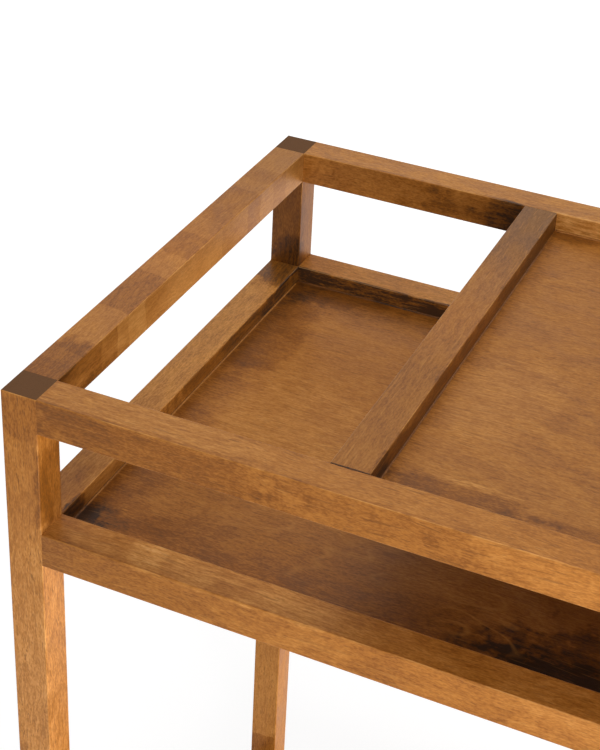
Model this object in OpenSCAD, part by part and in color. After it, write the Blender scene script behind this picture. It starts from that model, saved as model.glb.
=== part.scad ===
// Serving trolley: a recessed tray beside an open bottle well, a shelf close under both,
// a base shelf and four swivel castors, all in square stock with mortise and tenon joints.
// X runs along the trolley, Y from front to back and Z up. The origin is on the floor,
// under the middle of the frame. Sizes are in millimetres and angles in degrees.

/* [Frame] */
// Overall length of the frame
frame_l = 850; // [600:10:1100]
// Overall depth of the frame
frame_d = 498; // [380:2:600]
// Height of the rims above the floor
frame_h = 925; // [850:5:1000]
// Side of the square stock of posts and rails
stock = 30; // [28:1:36]
// Clear length of the bottle well
well_l = 217; // [120:1:260]
// Drop from the rims to the top of the shelf rails
shelf_drop = 122; // [100:1:200]
// Length of post below the base rails
foot_l = 30; // [27:1:60]
// Radius that the edges are eased to
ease_r = 1; // [0.5:0.25:2]

/* [Panels] */
// Depth of the tray panel below the rims
tray_recess = 17.5; // [8:0.5:19]
// Depth of the shelf panel below the shelf rails' top
shelf_recess = 16; // [8:0.5:19]
// Depth of the base panel below the base rails' top
base_recess = 16; // [8:0.5:19]
// Thickness of the panels
panel_t = 12; // [9:0.5:14]
// Thickness of the tongue round a panel
tongue_t = 6; // [4:0.5:8]
// Length of the tongue that lies in a groove
tongue_l = 7; // [4:0.5:8]
// Gap between a panel's raised face and the rails
panel_gap = 0.5; // [0.3:0.1:1.5]
// Room for the wood to move beyond a tongue
groove_room = 0.8; // [0.5:0.1:1.5]

/* [Joinery] */
// Thickness of the tenons
tenon_t = 10; // [6:0.5:12]
// Height of the tenons
tenon_h = 18; // [12:0.5:20]
// Shoulder above the tenons
tenon_top = 7; // [4:0.5:9]
// Length of the crossbar's stub tenons
stub_l = 12; // [6:0.5:18]
// Gap between the mitred ends of two tenons in one post
mitre_gap = 0.6; // [0.3:0.1:1.5]
// Clearance on each side of a tenon or tongue
joint_clear = 0.1; // [0.05:0.05:0.25]

/* [Wheels] */
// Diameter of the wheels
wheel_d = 50; // [45:1:60]
// Width of the wheels
wheel_w = 17; // [14:0.5:18]
// Thickness of the rubber tyres
tyre_t = 5.5; // [4:0.5:8]
// Radius of the tyres' shoulders
shoulder_r = 3; // [1:0.5:3.5]
// Radius of the wheels' hub
hub_r = 7.5; // [6.5:0.25:9]
// Thickness of the wheels' web
web_t = 5; // [3:0.5:7]
// Radius of the axle bolts
axle_r = 3; // [2.5:0.25:3.5]
// Wall of the sleeve that a wheel turns on
sleeve_t = 1.5; // [1:0.25:2]
// Gap between a wheel and each fork leg
leg_gap = 1.3; // [1:0.1:2]

/* [Castors] */
// Distance from the king pin to the axle
trail = 18; // [15:0.5:22]
// Thickness of the fork's plate
fork_t = 2.2; // [1.6:0.1:2.6]
// Gap between a wheel and the fork's crown
crown_gap = 3.5; // [3:0.25:6]
// Radius of the stem in the post
stem_r = 5; // [4:0.25:6]
// Length of the stem in the post
stem_l = 28; // [20:1:30]
// Wall of the sleeve that holds the stem
insert_t = 2; // [1.5:0.25:3]
// Radius of the king pin
king_r = 4; // [3:0.25:4.5]
// Radius of the bearing balls
ball_r = 2; // [1.5:0.1:2.25]
// Number of balls in a swivel
ball_count = 10; // [6:1:10]
// Radius of the ring of balls
ball_ring_r = 7.6; // [7.2:0.1:8]
// Angle that a brake pedal swings
brake_angle = 8; // [5:0.5:9]
// Reach of a brake pedal from its pin
pedal_l = 44; // [38:1:50]
// Width of a brake pedal's tread
pedal_w = 26; // [20:1:30]

/* [Hidden] */
$fn = 64;

wood_colour = [0.66, 0.43, 0.27];
panel_colour = [0.60, 0.42, 0.25];
steel_colour = [0.66, 0.66, 0.64];
brass_colour = [0.78, 0.64, 0.36];
nylon_colour = [0.16, 0.16, 0.16];
rubber_colour = [0.24, 0.24, 0.24];

// Overlap that keeps joined shapes one solid and lets cutters pass a face
over = 1;
// Radial clearance of a pin that turns in its hole
run_clear = 0.06;
// Clearance of a shaft or part that is pressed or clamped in its seat
seat_clear = 0.05;
// Gap between turning faces that stay clear of each other
free_gap = 0.3;

// Wheel and fork
wheel_r = wheel_d / 2;
rim_r = wheel_r - tyre_t;
rim_t = 2.4;
key_w = 5;
key_h = 1.5;
sleeve_r = axle_r + sleeve_t;
fork_in = wheel_w / 2 + leg_gap;
fork_out = fork_in + fork_t;
pad_t = 0.5;
pad_r = axle_r + 3;
boss_r = axle_r + 5.5;
head_r = axle_r + 2;
head_h = 2.4;
nut_h = head_h;
nut_r = 5.7;
bolt_seat = fork_out + pad_t;
crown_z = wheel_d + crown_gap;
crown_top = crown_z + fork_t;
bend_r = 4;

// Swivel: two ball races, one on the fork's crown and one in the stem's cup
race_r = ball_ring_r + ball_r + 1.4;
race_h = 1.6;
race_sink = 0.8;
race_clear = 0.2;
ball_z = crown_top + race_h + ball_r - race_sink;
race_roof = ball_z + ball_r - race_sink;
cup_in = race_r + 0.5;
cup_out = cup_in + 1.5;
cup_gap = 1.2;
roof_t = 4.4;
flange_r = cup_out + 1;
flange_t = 2.6;
rivet_r = king_r + 3;
rivet_h = 2.2;
cage_t = 1;
castor_h = race_roof + roof_t;

// Sleeve in a post's end
insert_r = stem_r + insert_t;
insert_lip_r = insert_r + 2.5;
insert_lip_t = 1.2;
insert_l = stem_l + 2;

// Brake pedal
pivot = [trail - 2, crown_top - 0.9];
pin_r = 1.6;
barrel_r = 3.2;
ear_r = 4.2;
pedal_t = 3;
crown_back = pivot[0] - barrel_r - 0.8;
pedal_in = fork_in - free_gap;
shoe_gap = 0.6;

// Frame
mid = stock / 2;
post_x = frame_l / 2 - mid;
post_y = frame_d / 2 - mid;
post_l = frame_h - castor_h;
inner_l = frame_l - 2 * stock;
inner_d = frame_d - 2 * stock;
top_z = frame_h;
shelf_z = frame_h - shelf_drop;
base_z = castor_h + foot_l + stock;
bar_x = stock + well_l + mid - frame_l / 2;
tray_l = inner_l - well_l - stock;
groove_l = tongue_l + groove_room;

// Corners: name, side along X, side along Y, turn of the post, brake on its castor
CORNERS = [
    ["front_left", -1, -1, 0, true],
    ["front_right", 1, -1, 90, true],
    ["back_right", 1, 1, 180, false],
    ["back_left", -1, 1, 270, false]
];
// Sides: name, turn, clear length of the rail, distance from the middle to its centre line
SIDES = [
    ["front", 0, inner_l, post_y],
    ["right", 90, inner_d, post_x],
    ["back", 180, inner_l, post_y],
    ["left", 270, inner_d, post_x]
];
BRAKED = [for (c = CORNERS) if (c[4]) c];
CASTOR_PARTS = [
    "castor_stem", "swivel_bearing", "castor_fork", "axle_bolt",
    "axle_nut", "axle_sleeve", "wheel_hub", "wheel_tyre"
];

// Square with its four corners rounded, centred
module eased_square(side, r) {
    square([side, side - 2 * r], center = true);
    square([side - 2 * r, side], center = true);
    for (x = [-1, 1]) {
        for (y = [-1, 1]) {
            translate([x * (side / 2 - r), y * (side / 2 - r)]) circle(r);
        }
    }
}

// Waste of an eased edge along Z: the edge is at the origin, the wood lies towards -X and -Y
module edge_waste(length) {
    linear_extrude(length) difference() {
        translate([-ease_r, -ease_r]) square(2 * ease_r);
        translate([-ease_r, -ease_r]) circle(ease_r);
    }
}

// Two discs and the strip between their outer tangents
module link(p1, r1, p2, r2) {
    along = p2 - p1;
    heading = atan2(along[1], along[0]);
    spread = acos((r1 - r2) / norm(along));
    side_a = [cos(heading + spread), sin(heading + spread)];
    side_b = [cos(heading - spread), sin(heading - spread)];
    translate(p1) circle(r1);
    translate(p2) circle(r2);
    polygon([p1 + r1 * side_a, p1 + r1 * side_b, p2 + r2 * side_b, p2 + r2 * side_a]);
}

// Extrudes a side outline, drawn as X and Z, across the middle of the castor
module across(width) {
    rotate([90, 0, 0]) linear_extrude(width, center = true) children();
}

// Centre block of a rail along X: its top is at Z = 0
module rail_bar(length) {
    translate([-length / 2, 0, -mid]) rotate([90, 0, 90]) linear_extrude(length) {
        eased_square(stock, ease_r);
    }
}

// Groove in the face that looks to +Y, from start to end, for a panel that deep below the top
module panel_groove(start, end, recess) {
    low = recess + (panel_t + tongue_t) / 2 + joint_clear;
    translate([start, mid - groove_l, -low]) {
        cube([end - start, groove_l + over, tongue_t + 2 * joint_clear]);
    }
}

// Tenons at both ends of a rail, mitred where they meet their neighbours inside the posts
module mitred_tenons(length) {
    outer = mid + tenon_t / 2 - mitre_gap / 2;
    inner = mid - tenon_t / 2 - mitre_gap / 2;
    for (end = [0, 1]) {
        mirror([end, 0, 0]) translate([length / 2, 0, -tenon_top - tenon_h]) linear_extrude(tenon_h) {
            polygon([[-over, -tenon_t / 2], [outer, -tenon_t / 2], [inner, tenon_t / 2], [-over, tenon_t / 2]]);
        }
    }
}

// Pocket for a tenon that comes from +X, with its blind end that far behind the face
module tenon_pocket(depth) {
    translate([-depth, -tenon_t / 2 - joint_clear, -tenon_top - tenon_h - joint_clear]) {
        cube([depth + over, tenon_t + 2 * joint_clear, tenon_h + 2 * joint_clear]);
    }
}

// Rail between two posts, along X with its inner face to +Y and its top at Z = 0
module rail(length, recess) {
    difference() {
        union() {
            rail_bar(length);
            mitred_tenons(length);
        }
        panel_groove(-length / 2 - over, length / 2 + over, recess);
    }
}

// Long top rail: grooved beside the tray only, and mortised for the crossbar.
// way is 1 where the rail's X runs with the trolley's, and -1 where it runs against it.
module long_top_rail(way) {
    tray_ends = [bar_x + mid, inner_l / 2 + over];
    difference() {
        union() {
            rail_bar(inner_l);
            mitred_tenons(inner_l);
        }
        panel_groove(min(way * tray_ends), max(way * tray_ends), tray_recess);
        translate([way * bar_x, mid, 0]) rotate([0, 0, 90]) tenon_pocket(stub_l + joint_clear);
    }
}

// Short top rail: the one beside the well has no groove
module short_top_rail(grooved) {
    difference() {
        union() {
            rail_bar(inner_d);
            mitred_tenons(inner_d);
        }
        if (grooved) {
            panel_groove(-inner_d / 2 - over, inner_d / 2 + over, tray_recess);
        }
    }
}

// Rail of the top ring on one side
module top_rail(side) {
    color(wood_colour) {
        if (side[0] == "front") {
            long_top_rail(1);
        } else if (side[0] == "back") {
            long_top_rail(-1);
        } else {
            short_top_rail(side[0] == "right");
        }
    }
}

// Crossbar between the well and the tray: stub tenons at its ends, groove towards the tray
module crossbar() {
    color(wood_colour) translate([bar_x, 0, top_z]) rotate([0, 0, 270]) difference() {
        union() {
            rail_bar(inner_d);
            translate([-inner_d / 2 - stub_l, -tenon_t / 2, -tenon_top - tenon_h]) {
                cube([inner_d + 2 * stub_l, tenon_t, tenon_h]);
            }
        }
        panel_groove(-inner_d / 2 - over, inner_d / 2 + over, tray_recess);
    }
}

// Panel for an opening of that size, with its raised face at Z = 0 and a tongue all round.
// The tongue stops short of the corners, where the posts and the crossbar's ends are.
module panel(length, depth) {
    face_l = length - 2 * panel_gap;
    face_d = depth - 2 * panel_gap;
    tongue_z = -(panel_t + tongue_t) / 2;
    color(panel_colour) difference() {
        union() {
            translate([-face_l / 2, -face_d / 2, -panel_t]) cube([face_l, face_d, panel_t]);
            translate([-length / 2 - tongue_l, -face_d / 2, tongue_z]) {
                cube([length + 2 * tongue_l, face_d, tongue_t]);
            }
            translate([-face_l / 2, -depth / 2 - tongue_l, tongue_z]) {
                cube([face_l, depth + 2 * tongue_l, tongue_t]);
            }
        }
        for (turn = [0, 180]) {
            rotate([0, 0, turn]) {
                translate([-length / 2, -face_d / 2, 0]) rotate([90, 0, 90]) rotate([0, 0, 90]) edge_waste(length);
                translate([face_l / 2, -depth / 2, 0]) rotate([-90, 0, 0]) rotate([0, 0, 270]) edge_waste(depth);
            }
        }
    }
}

module tray_panel() {
    translate([bar_x + mid + tray_l / 2, 0, top_z - tray_recess]) panel(tray_l, inner_d);
}

module shelf_panel() {
    translate([0, 0, shelf_z - shelf_recess]) panel(inner_l, inner_d);
}

module base_panel() {
    translate([0, 0, base_z - base_recess]) panel(inner_l, inner_d);
}

// Corner post, with its outer corner towards -X and -Y and its rails towards +X and +Y
module post() {
    bare = [[castor_h - over, base_z - stock], [base_z, shelf_z - stock], [shelf_z, top_z - stock]];
    pocket_l = mid + tenon_t / 2 + joint_clear;
    color(wood_colour) difference() {
        translate([-mid, -mid, castor_h]) cube([stock, stock, post_l]);
        // Outer corner over its whole height, and the two outer edges of the top
        translate([-mid, -mid, castor_h - over]) rotate([0, 0, 180]) edge_waste(post_l + 2 * over);
        translate([-mid - over, -mid, top_z]) rotate([90, 0, 90]) rotate([0, 0, 90]) edge_waste(stock + 2 * over);
        translate([-mid, mid + over, top_z]) rotate([90, 0, 0]) rotate([0, 0, 90]) edge_waste(stock + 2 * over);
        // The other three corners between the rails
        for (span = bare) {
            for (turn = [-90, 0, 90]) {
                rotate([0, 0, turn]) translate([mid, mid, span[0]]) edge_waste(span[1] - span[0]);
            }
        }
        // Mortises of the three tiers, which meet inside the post
        for (z = [top_z, shelf_z, base_z]) {
            for (turn = [0, 90]) {
                translate([0, 0, z]) rotate([0, 0, turn]) translate([mid, 0, 0]) tenon_pocket(pocket_l);
            }
        }
        // Seat of the castor's sleeve
        translate([0, 0, castor_h - over]) cylinder(insert_l + over + seat_clear, r = insert_r + seat_clear);
        translate([0, 0, castor_h - over]) cylinder(insert_lip_t + over, r = insert_lip_r + seat_clear);
    }
}

// Flanged sleeve pressed into the end of a post
module stem_insert() {
    color(brass_colour) difference() {
        union() {
            cylinder(insert_l, r = insert_r);
            cylinder(insert_lip_t, r = insert_lip_r);
        }
        translate([0, 0, -over]) cylinder(insert_l + 2 * over, r = stem_r + seat_clear);
    }
}

// Stem, flange, bearing cup and riveted king pin, turned about the swivel's axis
module castor_stem() {
    tip = 1.5;
    rivet_z = crown_z - free_gap - rivet_h;
    cup_z = crown_top + cup_gap;
    color(steel_colour) difference() {
        union() {
            translate([0, 0, castor_h - over]) cylinder(stem_l + over - tip, r = stem_r);
            translate([0, 0, castor_h + stem_l - tip]) cylinder(tip, r1 = stem_r, r2 = stem_r - tip);
            translate([0, 0, castor_h - flange_t]) cylinder(flange_t, r = flange_r);
            translate([0, 0, cup_z]) cylinder(castor_h - flange_t - cup_z + over, r = cup_out);
            translate([0, 0, rivet_z]) cylinder(castor_h - over - rivet_z, r = king_r);
            translate([0, 0, rivet_z]) cylinder(rivet_h, r1 = rivet_r - 1.5, r2 = rivet_r);
        }
        difference() {
            translate([0, 0, cup_z - over]) cylinder(race_roof - cup_z + over, r = cup_in);
            translate([0, 0, cup_z - 2 * over]) cylinder(race_roof - cup_z + 3 * over, r = king_r);
        }
        ball_race();
    }
}

// Ring groove that the balls run in
module ball_race() {
    rotate_extrude() translate([ball_ring_r, ball_z]) circle(ball_r + race_clear);
}

// Ball bearing of the swivel: the balls sit in one thin cage
module swivel_bearing() {
    color(brass_colour) {
        for (i = [0:ball_count - 1]) {
            rotate([0, 0, i * 360 / ball_count]) translate([ball_ring_r, 0, ball_z]) sphere(ball_r);
        }
        translate([0, 0, ball_z - cage_t / 2]) difference() {
            cylinder(cage_t, r = race_r - 0.4);
            translate([0, 0, -over]) cylinder(cage_t + 2 * over, r = king_r + 0.8);
        }
    }
}

// Side outline of a fork leg: crown, axle boss and a hollow leading edge
module leg_outline(front, back) {
    axle = [trail, wheel_r];
    crown_a = [front + bend_r, crown_top - bend_r];
    crown_b = [back - bend_r, crown_top - bend_r];
    edge = axle - crown_a;
    edge_out = [edge[1], -edge[0]] / norm(edge);
    hollow_r = 45;
    hollow_sink = 2;
    bulge = (bend_r + boss_r) / 2;
    difference() {
        union() {
            link(crown_a, bend_r, crown_b, bend_r);
            link(crown_b, bend_r, axle, boss_r);
            link(crown_a, bend_r, axle, boss_r);
            polygon([crown_a, crown_b, axle]);
        }
        translate((crown_a + axle) / 2 + edge_out * (bulge + hollow_r - hollow_sink)) circle(hollow_r, $fn = 96);
    }
}

// Bent channel of the fork, seen along X
module channel_outline(half, roof, r) {
    translate([-half, 0]) square([2 * half, roof - r]);
    translate([-half + r, 0]) square([2 * (half - r), roof]);
    for (side = [-1, 1]) {
        translate([side * (half - r), roof - r]) circle(r);
    }
}

// Pressed fork: bent channel cut to the leg's outline, race on its crown, and ears for the brake
module castor_fork(braked) {
    front = -race_r - 2;
    color(steel_colour) difference() {
        union() {
            intersection() {
                translate([front - over, 0, 0]) rotate([90, 0, 90]) linear_extrude(trail + boss_r - front + 2 * over) {
                    channel_outline(fork_out, crown_top, bend_r);
                }
                across(2 * fork_out + 2) leg_outline(front, crown_back + 1.2);
            }
            if (braked) {
                across(2 * fork_out) link(pivot, ear_r, [pivot[0] - 3, crown_top - 12], ear_r);
            }
            across(2 * bolt_seat) translate([trail, wheel_r]) circle(pad_r);
            translate([0, 0, crown_top - over]) cylinder(race_h + over, r = race_r);
        }
        // Space between the legs, under the crown and behind it
        translate([front - over, 0, 0]) rotate([90, 0, 90]) linear_extrude(crown_back - front + over) {
            channel_outline(fork_in, crown_z, bend_r - fork_t);
        }
        translate([crown_back - over, -fork_in, 0]) cube([trail + boss_r, 2 * fork_in, crown_z - bend_r]);
        translate([crown_back, -fork_in, 0]) cube([trail + boss_r, 2 * fork_in, crown_top + 2 * ear_r]);
        // Holes of the king pin, the axle bolt and the pedal's pin
        translate([0, 0, crown_z - over]) cylinder(fork_t + race_h + 2 * over, r = king_r + run_clear);
        ball_race();
        across(4 * bolt_seat) translate([trail, wheel_r]) circle(axle_r + seat_clear);
        if (braked) {
            across(4 * bolt_seat) translate(pivot) circle(pin_r + seat_clear);
        }
    }
}

// Moves to the axle and turns Z to -Y, along it
module on_axle() {
    translate([trail, 0, wheel_r]) rotate([90, 0, 0]) children();
}

// Low-headed bolt through both legs, with a hexagon socket in its head
module axle_bolt() {
    socket_r = 2.3;
    socket_h = 1.5;
    color(steel_colour) on_axle() difference() {
        union() {
            translate([0, 0, -bolt_seat - nut_h]) cylinder(2 * bolt_seat + nut_h + over, r = axle_r);
            translate([0, 0, bolt_seat]) cylinder(head_h / 2, r = head_r);
            translate([0, 0, bolt_seat + head_h / 2]) cylinder(head_h / 2, r1 = head_r, r2 = head_r - head_h / 2);
        }
        translate([0, 0, bolt_seat + head_h - socket_h]) cylinder(socket_h + over, r = socket_r, $fn = 6);
    }
}

module axle_nut() {
    color(steel_colour) on_axle() translate([0, 0, -bolt_seat - nut_h]) difference() {
        cylinder(nut_h, r = nut_r, $fn = 6);
        translate([0, 0, -over]) cylinder(nut_h + 2 * over, r = axle_r + seat_clear);
    }
}

// Steel sleeve clamped between the legs, which the hub turns on
module axle_sleeve() {
    color(steel_colour) on_axle() translate([0, 0, -fork_in]) difference() {
        cylinder(2 * fork_in, r = sleeve_r);
        translate([0, 0, -over]) cylinder(2 * fork_in + 2 * over, r = axle_r + seat_clear);
    }
}

// Moulded hub: bore, dished web with six windows, rim, and a key that locks the tyre
module wheel_hub() {
    hub_half = fork_in - free_gap;
    web = web_t / 2;
    rim_in = rim_r - rim_t;
    fillet = 1.2;
    windows = 6;
    window_ring_r = (hub_r + rim_in) / 2;
    window_r = (rim_in - hub_r) / 2 - fillet - 0.4;
    color(nylon_colour) on_axle() difference() {
        rotate_extrude() {
            polygon([
                [sleeve_r + run_clear, -hub_half], [hub_r, -hub_half],
                [hub_r, -web - fillet], [hub_r + fillet, -web],
                [rim_in - fillet, -web], [rim_in, -web - fillet],
                [rim_in, -wheel_w / 2], [rim_r, -wheel_w / 2],
                [rim_r, -key_w / 2], [rim_r + key_h, -key_w / 2],
                [rim_r + key_h, key_w / 2], [rim_r, key_w / 2],
                [rim_r, wheel_w / 2], [rim_in, wheel_w / 2],
                [rim_in, web + fillet], [rim_in - fillet, web],
                [hub_r + fillet, web], [hub_r, web + fillet],
                [hub_r, hub_half], [sleeve_r + run_clear, hub_half]
            ]);
        }
        for (i = [0:windows - 1]) {
            rotate([0, 0, i * 360 / windows]) translate([window_ring_r, 0, -web - over]) {
                cylinder(web_t + 2 * over, r = window_r);
            }
        }
    }
}

// Rubber tyre with rounded shoulders and a groove for the hub's key
module wheel_tyre() {
    half = wheel_w / 2;
    flat_r = wheel_r - shoulder_r;
    color(rubber_colour) on_axle() rotate_extrude() difference() {
        union() {
            translate([rim_r - over, -half]) square([flat_r - rim_r + over, wheel_w]);
            translate([rim_r - over, -half + shoulder_r]) {
                square([wheel_r - rim_r + over, wheel_w - 2 * shoulder_r]);
            }
            for (side = [-1, 1]) {
                translate([flat_r, side * (half - shoulder_r)]) circle(shoulder_r);
            }
        }
        translate([rim_r + seat_clear - tyre_t, -half - over]) square([tyre_t, wheel_w + 2 * over]);
        translate([rim_r, -key_w / 2 - seat_clear]) square([key_h + seat_clear, key_w + 2 * seat_clear]);
    }
}

// Brake pedal: barrel, arm with a shoe over the tyre, and a flared tread with three ribs
module brake_pedal() {
    knee = pivot + [20, 0.6];
    tread = pivot + [pedal_l - pedal_t, -4];
    shoe_x = [9, 19];
    neck_x = ear_r + 3.5;
    corner_r = 6;
    rib_r = 0.8;
    to_axle = [trail, wheel_r] - pivot;
    swung = [
        to_axle[0] * cos(brake_angle) - to_axle[1] * sin(brake_angle),
        to_axle[0] * sin(brake_angle) + to_axle[1] * cos(brake_angle)
    ];
    color(nylon_colour) difference() {
        union() {
            across(2 * pedal_in) link(pivot, barrel_r, pivot + [neck_x, 0.4], pedal_t / 2 + 0.6);
            across(2 * pedal_in) translate([pivot[0] + shoe_x[0], pivot[1] - 14]) {
                square([shoe_x[1] - shoe_x[0], 14]);
            }
            intersection() {
                across(pedal_w + 2) {
                    link(pivot + [neck_x, 0.4], pedal_t / 2, knee, pedal_t / 2);
                    link(knee, pedal_t / 2, tread, pedal_t / 2);
                    link(tread, pedal_t / 2, tread + [pedal_t - 1, 1.2], pedal_t / 2 - 0.2);
                }
                pedal_plan(neck_x, corner_r);
            }
            for (i = [1:3]) {
                at = knee + (tread - knee) * i / 4 + [0.3, pedal_t / 2 - 0.1];
                across(pedal_w - 2 * corner_r) translate(at) circle(rib_r);
            }
        }
        across(4 * bolt_seat) translate(pivot + swung) circle(wheel_r + shoe_gap, $fn = 128);
        across(4 * bolt_seat) translate(pivot) circle(pin_r + run_clear);
    }
}

// Outline of the pedal's arm and tread from above
module pedal_plan(neck_x, corner_r) {
    flare = neck_x + 8;
    translate([pivot[0], 0, 0]) linear_extrude(2 * wheel_d) {
        polygon([
            [neck_x - 4, -pedal_in], [neck_x, -pedal_in], [flare, -pedal_w / 2],
            [pedal_l - corner_r, -pedal_w / 2], [pedal_l, -pedal_w / 2 + corner_r],
            [pedal_l, pedal_w / 2 - corner_r], [pedal_l - corner_r, pedal_w / 2],
            [flare, pedal_w / 2], [neck_x, pedal_in], [neck_x - 4, pedal_in]
        ]);
        for (side = [-1, 1]) {
            translate([pedal_l - corner_r, side * (pedal_w / 2 - corner_r)]) circle(corner_r);
        }
    }
}

// Pin that the pedal swings on, flush with the fork's legs
module brake_pin() {
    color(steel_colour) across(2 * fork_out) translate(pivot) circle(pin_r);
}

// Places a piece at a corner of the frame
module at_corner(corner, turn) {
    translate([corner[1] * post_x, corner[2] * post_y, 0]) rotate([0, 0, turn]) children();
}

// Places a castor's piece at a corner: the wheels trail towards the middle of the trolley
module at_castor(corner) {
    at_corner(corner, corner[1] < 0 ? 0 : 180) children();
}

// Places a rail on a side of the frame, with its top at that height
module at_side(side, z) {
    rotate([0, 0, side[1]]) translate([0, -side[3], z]) children();
}

for (corner = CORNERS) {
    at_corner(corner, corner[3]) post();
}
for (side = SIDES) {
    at_side(side, top_z) top_rail(side);
    union() {
        at_side(side, shelf_z) color(wood_colour) rail(side[2], shelf_recess);
    }
    union() {
        at_side(side, base_z) color(wood_colour) rail(side[2], base_recess);
    }
}
crossbar();
tray_panel();
shelf_panel();
base_panel();
union() {  // stem_inserts
    for (corner = CORNERS) {
        at_corner(corner, 0) translate([0, 0, castor_h]) stem_insert();
    }
}
for (corner = CORNERS) {
    at_castor(corner) castor_stem();
    at_castor(corner) swivel_bearing();
    at_castor(corner) castor_fork(corner[4]);
    at_castor(corner) axle_bolt();
    at_castor(corner) axle_nut();
    at_castor(corner) axle_sleeve();
    at_castor(corner) wheel_hub();
    at_castor(corner) wheel_tyre();
}
for (corner = BRAKED) {
    at_castor(corner) brake_pedal();
    at_castor(corner) brake_pin();
}
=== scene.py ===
import math

import bmesh
import bpy
from mathutils import Matrix, Vector


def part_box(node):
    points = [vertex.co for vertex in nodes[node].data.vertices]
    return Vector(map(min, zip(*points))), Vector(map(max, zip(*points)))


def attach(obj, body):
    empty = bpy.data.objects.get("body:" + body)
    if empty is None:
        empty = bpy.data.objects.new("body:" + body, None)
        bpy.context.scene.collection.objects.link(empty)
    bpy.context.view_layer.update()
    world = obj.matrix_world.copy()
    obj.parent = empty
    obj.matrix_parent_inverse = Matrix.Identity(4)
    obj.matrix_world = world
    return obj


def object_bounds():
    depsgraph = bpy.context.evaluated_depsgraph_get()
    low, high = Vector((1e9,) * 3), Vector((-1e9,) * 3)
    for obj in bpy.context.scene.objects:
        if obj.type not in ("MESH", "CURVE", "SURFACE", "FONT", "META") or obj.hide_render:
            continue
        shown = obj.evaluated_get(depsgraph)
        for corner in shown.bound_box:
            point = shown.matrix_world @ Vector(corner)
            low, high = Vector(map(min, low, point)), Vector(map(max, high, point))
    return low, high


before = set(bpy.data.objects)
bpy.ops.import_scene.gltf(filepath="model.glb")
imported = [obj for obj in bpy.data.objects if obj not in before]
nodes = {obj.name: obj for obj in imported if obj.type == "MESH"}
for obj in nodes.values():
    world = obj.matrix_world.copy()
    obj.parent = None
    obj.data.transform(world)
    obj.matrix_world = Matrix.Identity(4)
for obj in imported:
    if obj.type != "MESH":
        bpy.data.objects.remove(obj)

cad_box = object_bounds()
CORNERS = ("front_left", "front_right", "back_right", "back_left")
BRAKED = ("front_left", "front_right")
LOW = 0
HIGH = 1


def plane(node, axis, end):
    """Where the box of a CAD node ends along the axis, on its low or its high side"""
    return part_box(node)[end]["XYZ".index(axis)]


# Faces and middle lines of the wooden members, and the openings between them
RIM_TOP = plane("top_rail_front", "Z", HIGH)
TRAY_TOP = plane("tray_panel", "Z", HIGH)
SHELF_RIM_TOP = plane("shelf_rail_front", "Z", HIGH)
SHELF_TOP = plane("shelf_panel", "Z", HIGH)
BASE_TOP = plane("base_panel", "Z", HIGH)
FRONT_FACE = plane("post_front_left", "Y", LOW)
FRONT_INSIDE = plane("post_front_left", "Y", HIGH)
BACK_INSIDE = plane("post_back_left", "Y", LOW)
BACK_FACE = plane("post_back_left", "Y", HIGH)
LEFT_FACE = plane("post_front_left", "X", LOW)
LEFT_INSIDE = plane("post_front_left", "X", HIGH)
RIGHT_INSIDE = plane("post_front_right", "X", LOW)
BAR_LEFT = plane("crossbar", "X", LOW)
BAR_RIGHT = plane("crossbar", "X", HIGH)
FRONT_MIDDLE = (FRONT_FACE + FRONT_INSIDE) / 2
BACK_MIDDLE = (BACK_INSIDE + BACK_FACE) / 2
LEFT_MIDDLE = (LEFT_FACE + LEFT_INSIDE) / 2
BAR_MIDDLE = (BAR_LEFT + BAR_RIGHT) / 2
TRAY_OPENING = ((BAR_RIGHT, FRONT_INSIDE), (RIGHT_INSIDE, BACK_INSIDE))
RING_OPENING = ((LEFT_INSIDE, FRONT_INSIDE), (RIGHT_INSIDE, BACK_INSIDE))

# Camera, placed as the photograph's was, with its optical centre above the image's middle
IMAGE_H = 750
CENTRE_ROW = 280
FOCAL_PX = 1683.0
SENSOR_MM = 36.0
CAMERA_AT = Vector((0.1644, -1.0956, 1.6073))
CAMERA_TURN = 22.964
CAMERA_DROP = 29.826
CAMERA_ROLL = 2.866
CLIP_END = 100


def place_object(name, data):
    """New object in the scene with that data"""
    made = bpy.data.objects.new(name, data)
    bpy.context.scene.collection.objects.link(made)
    return made


def make_camera():
    turn, drop, roll = (math.radians(angle) for angle in (CAMERA_TURN, CAMERA_DROP, CAMERA_ROLL))
    back = Vector((math.sin(turn) * math.cos(drop), -math.cos(turn) * math.cos(drop), math.sin(drop)))
    level = Vector((math.cos(turn), math.sin(turn), 0))
    upright = back.cross(level)
    right = level * math.cos(roll) + upright * math.sin(roll)
    up = upright * math.cos(roll) - level * math.sin(roll)
    data = bpy.data.cameras.new("camera")
    data.sensor_width = SENSOR_MM
    data.lens = FOCAL_PX / IMAGE_H * SENSOR_MM
    data.shift_y = (CENTRE_ROW - IMAGE_H / 2) / IMAGE_H
    data.clip_end = CLIP_END
    camera = place_object("camera", data)
    rotation = Matrix((right, up, back)).transposed().to_4x4()
    camera.matrix_world = Matrix.Translation(CAMERA_AT) @ rotation
    bpy.context.scene.camera = camera


# Limits of the noise that a layer spreads out, and of the soft rim of an oval
NOISE_SPREAD = (0.34, 0.66)
OVAL_RIM = (1.25, 0.75)


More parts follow.
